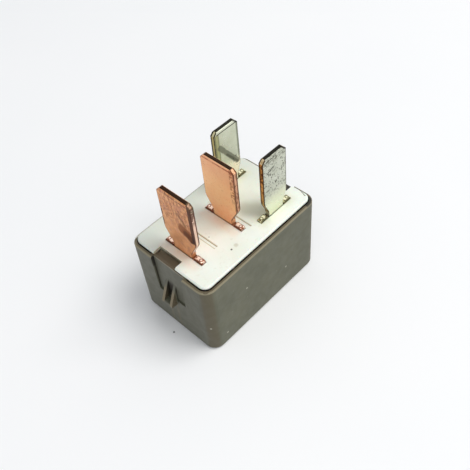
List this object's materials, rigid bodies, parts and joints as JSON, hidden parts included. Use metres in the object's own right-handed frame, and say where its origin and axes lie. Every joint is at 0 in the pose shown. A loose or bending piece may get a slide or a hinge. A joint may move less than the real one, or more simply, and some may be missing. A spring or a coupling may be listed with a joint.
{
  "type": "automotive relay",
  "caption": "Small automotive relay: moulded case with a latch lug, pale base, flat blade terminals, and a coil, armature and contacts inside.",
  "frame": {"origin": "centre of the case's closed end, on the face it rests on", "axes": "+Z from the closed end to the blade tips, X along the case with the latch lug on -X, +Y completes the frame"},
  "size_m": [0.0256, 0.0162, 0.0269],
  "materials": {
    "case_plastic": "moulded, matte, gray olive brown",
    "base_plastic": "moulded, smooth, slightly translucent off-white",
    "copper": "bare stamped copper, slightly tarnished",
    "tinned_brass": "tin plated, cut edges show the metal beneath",
    "bobbin_plastic": "moulded, dark",
    "enamelled_wire": "layered fine enamelled wire",
    "plated_iron": "zinc plated",
    "rivet_metal": "plain",
    "spring_copper": "rolled spring strip",
    "contact_silver": "silver alloy, matte",
    "resistor_ceramic": "lacquered ceramic",
    "tinned_wire": "tinned wire"
  },
  "bodies": {
    "frame": {"case": "case_plastic", "base": "base_plastic", "load_terminal": "copper", "common_terminal": "copper", "coil_terminal_near": "tinned_brass", "coil_terminal_far": "tinned_brass", "bobbin": "bobbin_plastic", "coil_winding": "enamelled_wire", "core": "plated_iron", "yoke": "plated_iron", "spring_rivet_left": "rivet_metal", "spring_rivet_right": "rivet_metal", "fixed_contact": "contact_silver", "resistor_body": "resistor_ceramic", "resistor_lead_near": "tinned_wire", "resistor_lead_far": "tinned_wire"},
    "armature_group": {"armature": "plated_iron", "armature_rivet_left": "rivet_metal", "armature_rivet_right": "rivet_metal", "contact_spring": "spring_copper", "moving_contact": "contact_silver"}
  },
  "joints": [
    {"name": "armature_tilt", "type": "hinge", "parent": "frame", "child": "armature_group", "pos_m": [-0.00834, 0, 0.0019], "axis": [0, 1, 0], "range_deg": [0, 4.2], "stiffness_Nm_per_rad": 0.002, "springref_deg": -17.19, "deforming": ["contact_spring"]}
  ]
}
